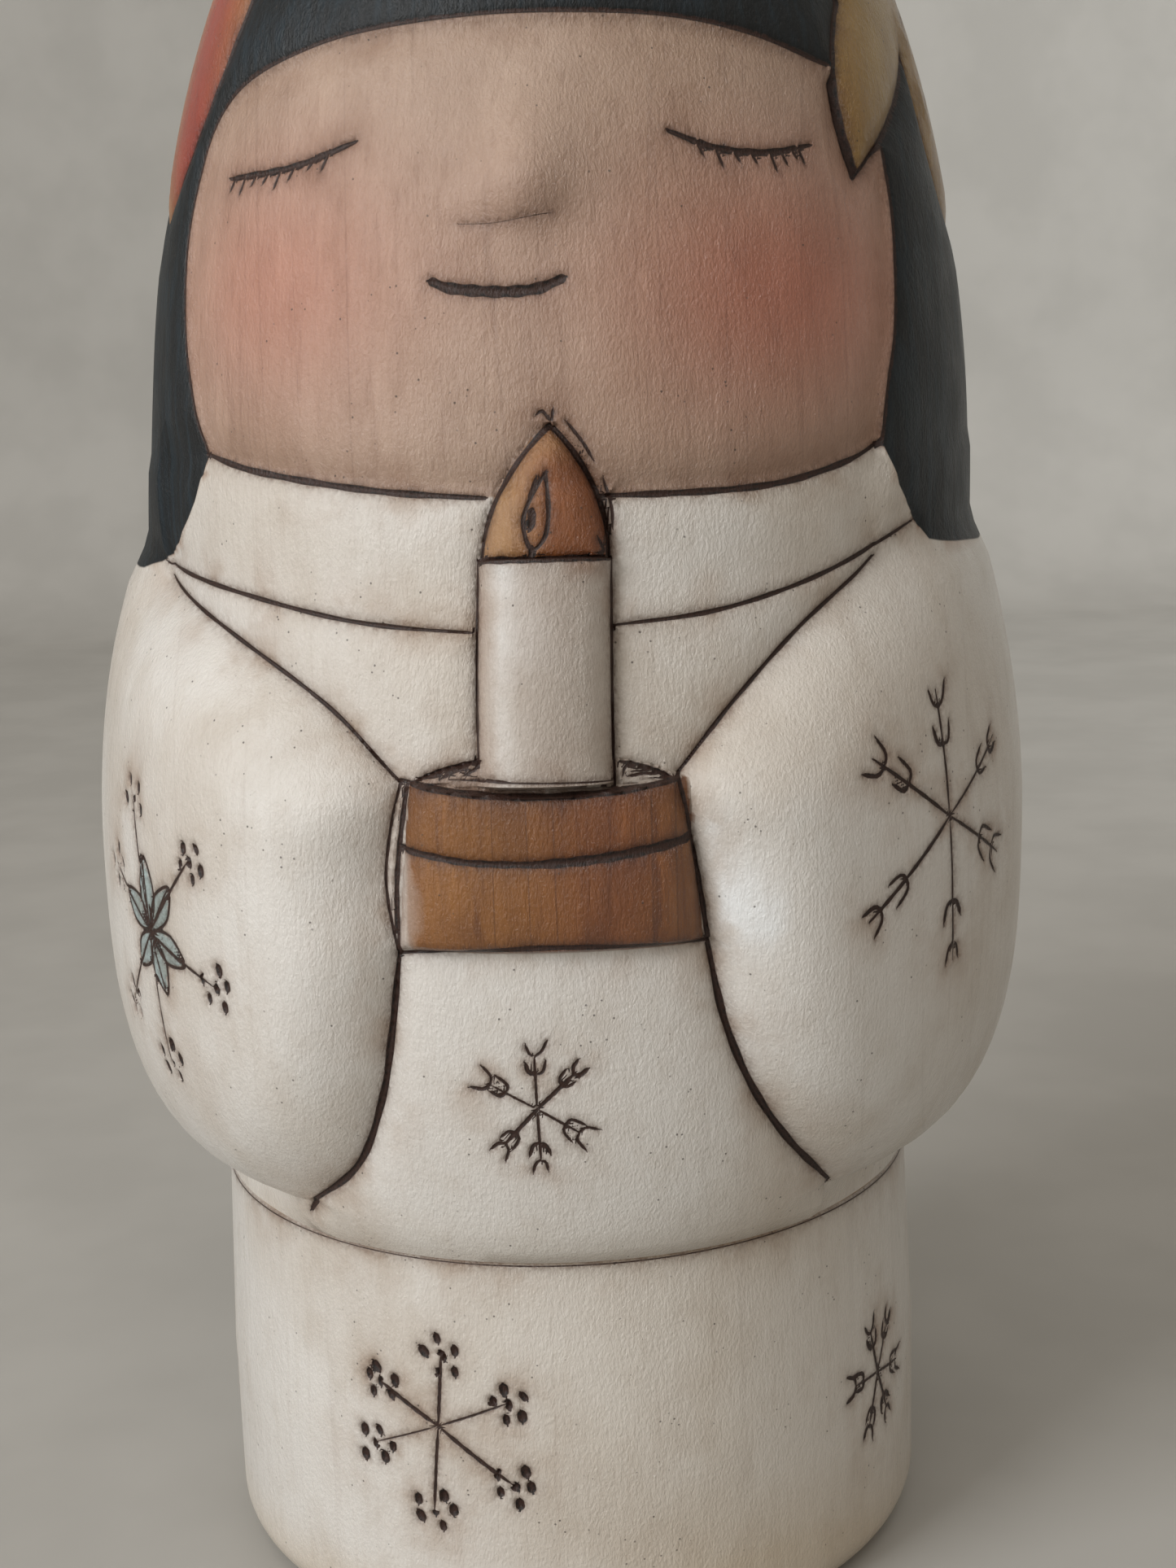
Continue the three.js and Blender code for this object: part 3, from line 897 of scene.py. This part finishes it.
def stroke_samples(doll, strokes, place):
    """Every stroke as 3-D points, with its half width, depth and valley at each, and its direction."""
    points, sizes, ways = [], [], []
    for stroke in strokes:
        line = curve(stroke.points) if stroke.smooth else np.array(stroke.points, float)
        steps = np.linspace(0, 1, 5, endpoint=False)[:, None]
        dense = np.vstack([*[blend(a, b, steps) for a, b in zip(line, line[1:])], line[-1:]])
        along = resampled(place(dense[:, 0], dense[:, 1]), 0.14 * doll.scale)
        t = np.linspace(0, 1, len(along))
        end = np.minimum(t, 1 - t) / 0.18
        press = blend(stroke.taper, 1, np.clip(end, 0, 1)) * (1 + 0.1 * np.sin(37 * t + 5 * len(along)))
        points.append(along)
        ways.append(np.gradient(along, axis=0))
        flat = np.ones(len(t))
        sizes.append(np.column_stack([stroke.width / 2 * press, flat * stroke.depth, flat * stroke.valley]))
    return np.vstack(points), np.vstack(sizes), np.vstack(ways)


def signed_across(points, samples, ways):
    """Distance from each point to its nearest stroke, below 0 on the stroke's left side."""
    offset = points - samples
    outward = points * [1, 1, 0]
    sideways = np.sum(np.cross(outward, ways) * offset, axis=1)
    along = np.sum(offset * ways, axis=1) / np.linalg.norm(ways, axis=1)
    distance = np.linalg.norm(offset, axis=1)
    straight = np.sqrt(np.maximum(distance**2 - np.minimum(np.abs(along), 0.08) ** 2, 0))
    return np.sign(sideways) * straight, distance


def planar_grid(columns, rows):
    """A flat bmesh grid with a column for each angle and a row for each row of the outline."""
    bm = bmesh.new()
    verts = [[bm.verts.new((u, v, 0)) for u in columns] for v in range(rows)]
    for low, high in zip(verts, verts[1:]):
        for k in range(len(columns) - 1):
            bm.faces.new((low[k], low[k + 1], high[k + 1], high[k]))
    return bm


def refine(bm, reach, distance):
    """Splits the edges whose middles lie within reach of a stroke."""
    bm.edges.ensure_lookup_table()
    middles = np.array([((e.verts[0].co + e.verts[1].co) / 2)[:2] for e in bm.edges])
    close = distance(middles[:, 0], middles[:, 1]) < reach
    chosen = [e for e, near in zip(bm.edges, close) if near]
    bmesh.ops.subdivide_edges(bm, edges=chosen, cuts=1, use_grid_fill=True)


def welded(bm, turned):
    """Places and faces of the grid, with its seam at the back closed and its poles drawn together."""
    flat = np.array([v.co[:2] for v in bm.verts])
    bm.verts.index_update()
    faces = [[v.index for v in f.verts] for f in bm.faces]
    bm.free()
    u, v = flat[:, 0].copy(), flat[:, 1]
    u[u > 179.999] = -180
    u[turned.at(v)[0] < 1e-6] = 0
    keys = np.round(np.column_stack([u, v]), 4)
    _, first, where = np.unique(keys, axis=0, return_index=True, return_inverse=True)
    where = where.reshape(-1)
    clean = []
    for face in faces:
        ring = [where[i] for i in face]
        ring = [a for a, b in zip(ring, ring[1:] + ring[:1]) if a != b]
        if len(ring) > 2:
            clean.append(ring)
    return u[first], v[first], clean


def build_piece(name, body, turned, strokes, radius, raise_by, paint, fields, materials):
    """One half of a doll as a closed mesh: a turned outline, carved and burnt where it is painted."""
    doll = turned.doll
    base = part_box(name)[0].z / MM - turned.rows[:, 1].min()

    def place(angle, z):
        """Bare surface at heights on the figure."""
        return on_cylinder(radius(angle, z), angle, z * doll.scale)

    samples, sizes, ways = stroke_samples(doll, strokes, place)
    near = Near(samples)

    def stroke_distance(u, v):
        h = turned.at(v)[1]
        far = np.full(len(u), 1e3)
        on = turned.painted(v)
        z = h[on] / doll.scale
        which, distance = near(place(u[on], z))
        far[on] = distance - sizes[which, 0]
        return far

    count = int(2 * math.pi * doll.body / doll.cell / 4) * 4
    bm = planar_grid(np.linspace(-180, 180, count + 1), len(turned.rows))
    for reach in (1.2, 0.6, 0.2):
        refine(bm, reach * doll.cell, stroke_distance)
    u, v, faces = welded(bm, turned)

    r, h, normal_r, normal_z = turned.at(v)
    on = turned.painted(v)
    z = h / doll.scale
    rise = np.zeros(len(u))
    shaped = r.copy()
    shaped[on] = radius(u[on], z[on])
    spots = place(u[on], z[on])
    which, _ = near(spots)
    half, depth, valley = sizes[which].T
    across_line, distance = signed_across(spots, samples[which], ways[which])
    groove = depth * bell(distance, half + 0.12)
    groove += valley * np.exp(-((distance / (VALLEY_REACH * doll.scale)) ** 1.6))
    edge = smooth(0, 2, v[on] - turned.first) * smooth(0, 2, turned.last - v[on])
    rise[on] = (raise_by(u[on], z[on]) * doll.scale - groove * doll.scale**0.5) * edge
    shift = np.where(on, lean(doll, z), 0)
    turn = np.radians(u)
    out = np.maximum(shaped + rise * normal_r, 0)
    out[r < 1e-6] = 0
    places = [out * np.sin(turn) + shift, -out * np.cos(turn), h + rise * normal_z + base]
    places = np.column_stack(places) * MM

    values = {"across": (on, across_line), "away": (on, distance), "half": (on, half * doll.scale**0.5)}
    values.update({key: (on, field(u[on], z[on])) for key, field in fields.items()})
    tint, leaves = np.ones((len(u), 4)), np.ones((len(u), 4))
    tint[on, :3], wood = paint(u[on], z[on])
    leaves[on, :3] = paint_leaves(u[on], z[on])
    values["grain"] = (on, wood)

    mesh = bpy.data.meshes.new(name + "_carved")
    mesh.from_pydata(places.tolist(), [], faces)
    mesh.update()
    for label, colours in (("paint", tint), ("leaves", leaves)):
        mesh.color_attributes.new(label, "FLOAT_COLOR", "POINT").data.foreach_set("color", colours.ravel())
    for label, (where, found) in values.items():
        spread = np.full(len(u), FAR)
        spread[where] = found
        mesh.attributes.new(label, "FLOAT", "POINT").data.foreach_set("value", spread)
    for material in materials:
        mesh.materials.append(material)
    bare = [0 if all(on[i] for i in face) else 1 for face in faces]
    mesh.polygons.foreach_set("material_index", bare)
    mesh.polygons.foreach_set("use_smooth", [True] * len(faces))
    mesh.set_sharp_from_angle(angle=math.radians(50))
    piece = new_object(name + "_carved", mesh)
    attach(piece, body)
    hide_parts(name)
    return piece


def upper_turned(doll):
    hollow = turned_rows(upper_outline(doll), 5) if doll.dome else turned_rows(solid_foot(doll), 5)
    outer = outside_rows(doll, doll.cell)
    rows = np.vstack([hollow, outer])
    return Turned(doll, rows, len(hollow), len(rows) - 1)


def solid_foot(doll):
    """The smallest doll's foot and cup, up to where its figure starts."""
    corner = doll.cup * CORNER
    foot = quarter(doll.cup - corner, corner, corner, corner, -90, 0, 8)
    return np.vstack([[(0, 0)], foot, [(doll.rim + 0.02, doll.seam - 0.2)]])


def lower_turned(doll):
    outside, inner = lower_outline(doll)
    foot = turned_rows(outside[:2], 5)
    wall = turned_rows(outside[1:], doll.cell)
    rest = turned_rows(inner, 5)
    rows = np.vstack([foot[:-1], wall, rest])
    return Turned(doll, rows, len(foot), len(foot) + len(wall) - 2)


# --- Materials ---


class Nodes:
    """Short calls that build one material's node graph."""

    def __init__(self, name):
        self.material = bpy.data.materials.new(name)
        self.material.use_nodes = True
        self.tree = self.material.node_tree
        self.shader = self.tree.nodes["Principled BSDF"]

    def add(self, kind, **values):
        node = self.tree.nodes.new(kind)
        for key, value in values.items():
            setattr(node, key, value)
        return node

    def link(self, source, target):
        if hasattr(source, "is_output"):
            self.tree.links.new(source, target)
        else:
            target.default_value = source

    def attribute(self, name, output="Fac"):
        return self.add("ShaderNodeAttribute", attribute_name=name).outputs[output]

    def noise(self, scale, stretch=(1, 1, 1), detail=3.0, rough=0.55, seed=0.0, place=None, tilt=0.0):
        """Noise in millimetres: scale is features per millimetre, stretch squeezes each axis."""
        mapping = self.add("ShaderNodeMapping")
        mapping.inputs["Scale"].default_value = stretch
        mapping.inputs["Location"].default_value = place or (seed, 0.3 * seed, 0.7 * seed)
        mapping.inputs["Rotation"].default_value = (0, math.radians(tilt), 0)
        self.link(self.add("ShaderNodeTexCoord").outputs["Object"], mapping.inputs["Vector"])
        node = self.add("ShaderNodeTexNoise")
        node.inputs["Scale"].default_value = scale / MM
        node.inputs["Detail"].default_value = detail
        node.inputs["Roughness"].default_value = rough
        self.link(mapping.outputs["Vector"], node.inputs["Vector"])
        return node.outputs["Fac"]

    def math(self, operation, a, b=0.0, clamp=False):
        node = self.add("ShaderNodeMath", operation=operation, use_clamp=clamp)
        self.link(a, node.inputs[0])
        self.link(b, node.inputs[1])
        return node.outputs[0]

    def times(self, a, b, clamp=False):
        return self.math("MULTIPLY", a, b, clamp)

    def minus(self, a, b):
        return self.math("SUBTRACT", a, b)

    def ramp(self, value, low, high, start=0.0, end=1.0):
        node = self.add("ShaderNodeMapRange", interpolation_type="SMOOTHSTEP")
        self.link(value, node.inputs["Value"])
        for key, number in (("From Min", low), ("From Max", high), ("To Min", start), ("To Max", end)):
            node.inputs[key].default_value = number
        return node.outputs["Result"]

    def mix(self, amount, a, b, kind="MIX"):
        node = self.add("ShaderNodeMix", data_type="RGBA", blend_type=kind)
        self.link(amount, node.inputs[0])
        self.link(a, node.inputs[6])
        self.link(b, node.inputs[7])
        return node.outputs[2]

    def wash(self, tone, mask, strength, shade, kind="MULTIPLY"):
        """The tone with a thin wash of a shade over it, where the mask is."""
        return self.mix(self.times(mask, strength), tone, rgba(shade), kind)

    def surface(self, inputs):
        """Sets or links the shader's inputs, by their names."""
        for name, value in inputs.items():
            self.link(value, self.shader.inputs[name])

    def bump(self, height, socket, strength, distance=MM):
        node = self.add("ShaderNodeBump")
        node.inputs["Strength"].default_value = strength
        node.inputs["Distance"].default_value = distance
        self.link(height, node.inputs["Height"])
        self.link(node.outputs["Normal"], self.shader.inputs[socket])


def rgba(code):
    return (*colour(code), 1)


def painted_wood():
    """Thin paint over limewood, burnt lines, and a satin varnish over all of it."""
    n = Nodes("painted_wood")
    paint = n.attribute("paint", "Color")
    grain = n.attribute("grain")
    half = n.attribute("half")
    away = n.attribute("away")
    across_line = n.math("ABSOLUTE", n.attribute("across"))
    hair = n.ramp(n.attribute("hair"), -0.12, 0.12)
    cap = n.ramp(n.attribute("cap"), -0.12, 0.12)
    dark = n.times(hair, n.minus(1.0, cap))

    streak = n.noise(0.9, (1, 1, 0.035), 4, 0.6)
    fine = n.noise(3.2, (1, 1, 0.12), 3, 0.6, 4.0)
    cloud = n.noise(0.03, (1, 1, 0.8), 3, 0.5, 9.0)
    mottle = n.noise(0.22, (1, 1, 0.6), 4, 0.6, 2.0)
    ragged = n.noise(1.6, (1, 1, 1), 3, 0.6, 6.0)
    patchy = n.noise(0.13, (1, 1, 1), 3, 0.6, 13.0)

    tone = n.mix(cap, paint, n.attribute("leaves", "Color"))
    veins = n.times(n.ramp(streak, 0.5, 0.74), grain)
    tone = n.wash(tone, veins, 0.2, "a88a74")
    ring = n.math("ABSOLUTE", n.minus(n.noise(0.2, (1, 0.05, 0.01), 1, 0.4, 63.0), 0.5))
    ring = n.times(n.ramp(ring, 0.012, 0.002), grain)
    tone = n.wash(tone, ring, 0.13, "7b5b48")
    tone = n.wash(tone, n.ramp(mottle, 0.45, 0.75), 0.14, "b8a486")
    tone = n.wash(tone, n.ramp(cloud, 0.45, 0.62), 0.32, "cbb89f")
    rub = n.times(n.ramp(n.noise(0.2, (1, 1, 0.3), 5, 0.65, 44.0), 0.4, 0.68), grain)
    tone = n.wash(tone, rub, 0.11, "8c6648")
    pale = n.times(n.ramp(n.noise(0.35, (1, 1, 0.12), 4, 0.65, 51.0), 0.52, 0.75), grain)
    tone = n.wash(tone, pale, 0.16, "ffffff", "SOFT_LIGHT")
    tone = n.wash(tone, n.ramp(fine, 0.3, 0.7), 0.12, "ffffff", "SOFT_LIGHT")
    strand = n.mix(n.ramp(streak, 0.4, 0.7), rgba("0a1115"), rgba("16242c"))
    tone = n.mix(dark, tone, strand)

    from_line = n.minus(away, half)
    scorch = n.math("EXPONENT", n.math("DIVIDE", from_line, -0.5))
    scorch = n.times(scorch, n.ramp(ragged, 0.3, 0.7, 0.25, 0.8), True)
    tone = n.mix(scorch, tone, rgba("6d4a33"), "MULTIPLY")
    stain = n.math("EXPONENT", n.math("DIVIDE", from_line, -3.2))
    stain = n.times(stain, n.ramp(patchy, 0.42, 0.72, 0.1, 0.6), True)
    tone = n.mix(stain, tone, rgba("b08a63"), "MULTIPLY")

    reach = n.math("MAXIMUM", across_line, n.minus(away, 0.2))
    edge = n.minus(reach, half)
    edge = n.math("ADD", edge, n.times(n.minus(ragged, 0.5), 0.22))
    burnt = n.ramp(edge, 0.05, -0.05)
    middle = n.ramp(n.math("DIVIDE", reach, half), 0.0, 0.7)
    char = n.mix(n.times(n.ramp(ragged, 0.4, 0.62), middle), rgba("341f17"), rgba("120a07"))
    tone = n.mix(burnt, tone, char)

    specks = n.add("ShaderNodeTexVoronoi", feature="F1")
    specks.inputs["Scale"].default_value = 0.8 / MM
    n.link(n.add("ShaderNodeTexCoord").outputs["Object"], specks.inputs["Vector"])
    speck = n.times(n.ramp(specks.outputs["Distance"], 0.13, 0.07), n.ramp(mottle, 0.52, 0.58))
    tone = n.wash(tone, speck, 0.75, "2f2620", "MIX")

    coat = n.ramp(n.math("MAXIMUM", dark, burnt), 0.0, 1.0, 0.8, 0.08)
    n.surface({"Base Color": tone, "Roughness": n.ramp(mottle, 0.3, 0.7, 0.42, 0.54), "Coat Weight": coat,
               "Specular IOR Level": 0.4, "Coat Roughness": 0.14, "IOR": 1.5})

    stipple = n.noise(1.5, (1, 1, 0.6), 5, 0.7, 21.0)
    fibres = n.noise(1.1, (1, 1, 0.14), 4, 0.65, 27.0)
    brush = n.noise(0.3, (1, 1, 0.5), 3, 0.6, 31.0)
    lumps = n.math("ADD", n.times(stipple, 0.32), n.times(fibres, 0.12))
    lumps = n.math("ADD", lumps, n.times(brush, 0.22))
    lumps = n.math("ADD", lumps, n.times(n.noise(3.2, (1, 1, 0.5), 3, 0.6, 37.0), 0.46))
    gouge = n.math("POWER", n.math("DIVIDE", reach, half), 2.0)
    gouge = n.math("EXPONENT", n.times(gouge, -1.2))
    height = n.minus(lumps, n.times(gouge, 0.12))
    scratch = n.math("ADD", scratches(n, 35, 3.0), scratches(n, -50, 17.0))
    height = n.minus(height, n.times(n.times(scratch, grain), 0.03))
    n.bump(height, "Normal", 0.4)
    n.bump(height, "Coat Normal", 0.9)
    return n.material


def scratches(n, tilt, seed):
    """Fine scratches in the varnish, tilted from upright by an angle in degrees."""
    noise = n.noise(1.1, (1, 0.3, 0.03), 1.0, 0.5, place=(seed, 0, seed), tilt=tilt)
    return n.ramp(n.math("ABSOLUTE", n.minus(noise, 0.62)), 0.012, 0.0)


def raw_wood():
    """Bare turned limewood inside the halves: upright grain and faint tool rings."""
    n = Nodes("raw_limewood")
    streak = n.noise(0.5, (1, 1, 0.05), 5, 0.6)
    rings = n.noise(1.4, (0.02, 0.02, 1), 2, 0.5, 5.0)
    flecks = n.noise(2.4, (1, 1, 0.15), 3, 0.6, 8.0)
    tone = n.mix(n.ramp(streak, 0.35, 0.7), rgba("d9bd92"), rgba("c39f6d"))
    tone = n.wash(tone, n.ramp(flecks, 0.55, 0.75), 0.3, "9c774a", "MIX")
    tone = n.wash(tone, n.ramp(rings, 0.5, 0.7), 0.2, "ad8756", "MIX")
    n.surface({"Base Color": tone, "Roughness": n.ramp(streak, 0.3, 0.7, 0.62, 0.78)})
    n.bump(n.math("ADD", rings, n.times(flecks, 0.5)), "Normal", 0.5, 0.12 * MM)
    return n.material


# --- The nest ---


def figure_strokes():
    return [*cap_strokes(), *face_strokes(), *dress_strokes(), *candle_strokes(), *cup_strokes(),
            *dress_snowflakes()]


def hair_margin(angle, z):
    """Millimetres inside the hair; below 0 on the face and the dress."""
    face = np.where(np.abs(angle) < FACE_SIDE, face_margin(angle, z), -FAR)
    return np.minimum(z - neckline(angle), -face)


def nowhere(angle, z):
    """The margin of a part that a piece has none of."""
    return np.full(len(z), -FAR)


def flat(angle, z):
    return np.zeros(len(z))


def build_dolls():
    materials = [painted_wood(), raw_wood()]
    figure_fields = {"hair": hair_margin, "cap": cap_margin}
    dress_fields = {"hair": nowhere, "cap": nowhere}
    for doll in DOLLS:
        def radius(angle, z, doll=doll):
            return bare_radius(doll, angle, z)

        def wall(angle, z, doll=doll):
            rows = lower_turned(doll)
            painted = rows.rows[rows.first:rows.last + 1]
            return np.interp(z * doll.scale, painted[:, 1], painted[:, 0])

        upper = doll.name + "_upper_half" if doll.dome else doll.name
        body = doll.name + "_upper" if doll.dome else doll.name
        piece = build_piece(upper, body, upper_turned(doll), figure_strokes(), radius, relief, paint_figure,
                            figure_fields, materials)
        if doll.dome:
            lower = build_piece(doll.name + "_lower_half", doll.name + "_lower", lower_turned(doll),
                                cup_snowflakes(doll), wall, flat, paint_cup, dress_fields, materials)


# --- Setting ---

CAMERA_TURN = 4.0  # degrees round from the front, towards +X
CAMERA_ASIDE = 4.2
CAMERA_BACK = 283.1
CAMERA_HEIGHT = 157.9
CAMERA_DOWN = 12.4  # degrees below the horizon
CAMERA_ROLL = -1.85
CAMERA_LENS = 52.0


def add_camera():
    down, roll = math.radians(CAMERA_DOWN), math.radians(CAMERA_ROLL)
    ahead = Vector((0, math.cos(down), -math.sin(down)))
    level = Vector((1, 0, 0))
    up = level.cross(ahead)
    right = math.cos(roll) * level + math.sin(roll) * up
    top = -math.sin(roll) * level + math.cos(roll) * up
    look = Matrix((right, top, -ahead)).transposed().to_4x4()
    look.translation = Vector((CAMERA_ASIDE, -CAMERA_BACK, CAMERA_HEIGHT)) * MM
    camera = new_object("camera", bpy.data.cameras.new("camera"))
    camera.data.lens = CAMERA_LENS
    camera.data.sensor_width = 36
    camera.data.clip_start = 0.01
    camera.matrix_world = Matrix.Rotation(math.radians(CAMERA_TURN), 4, "Z") @ look
    bpy.context.scene.camera = camera


def add_stage():
    """A pale floor that curves up into a plain wall behind the doll."""
    bend, back, width = 0.12, 0.9, 3.0
    outline = [(-2.0, 0.0), (back - bend, 0.0)]
    for t in np.linspace(0, math.pi / 2, 14):
        outline.append((back - bend + bend * math.sin(t), bend - bend * math.cos(t)))
    outline.append((back, 2.2))
    verts = [(x, y, z) for y, z in outline for x in (-width, width)]
    faces = [(2 * i, 2 * i + 1, 2 * i + 3, 2 * i + 2) for i in range(len(outline) - 1)]
    mesh = bpy.data.meshes.new("backdrop")
    mesh.from_pydata(verts, [], faces)
    mesh.polygons.foreach_set("use_smooth", [True] * len(faces))
    n = Nodes("backdrop_paper")
    tone = n.mix(n.ramp(n.noise(0.02), 0.35, 0.65), rgba("b1afaa"), rgba("b8b6b1"))
    n.surface({"Base Color": tone, "Roughness": 0.85})
    mesh.materials.append(n.material)
    backdrop = new_object("backdrop", mesh)
    backdrop.rotation_euler.z = math.radians(CAMERA_TURN)


def add_light(name, place, aim, size, power, tone):
    lamp = bpy.data.lights.new(name, "AREA")
    lamp.shape = "RECTANGLE"
    lamp.size, lamp.size_y = size
    lamp.energy = power
    lamp.color = tone
    light = new_object(name, lamp)
    light.location = place
    light.rotation_euler = (Vector(aim) - Vector(place)).to_track_quat("-Z", "Y").to_euler()


def add_lights():
    add_light("window", (-0.77, -0.7, 0.52), (0, 0, 0.1), (0.55, 0.55), 8.4, (0.98, 0.99, 1.0))
    add_light("ceiling", (0.0, -0.3, 1.1), (0, 0, 0), (1.2, 1.2), 3.2, (1.0, 0.96, 0.9))
    add_light("wall_wash", (0.7, 0.1, 0.5), (0.9, 0.9, 0.45), (0.6, 0.6), 5.0, (0.95, 0.98, 1.0))
    world = bpy.data.worlds.new("room")
    world.use_nodes = True
    background = world.node_tree.nodes["Background"].inputs
    background["Color"].default_value = (1.0, 0.92, 0.82, 1)
    background["Strength"].default_value = 0.34
    bpy.context.scene.world = world
    bpy.context.scene.view_settings.view_transform = "Standard"


add_camera()
add_stage()
add_lights()
build_dolls()
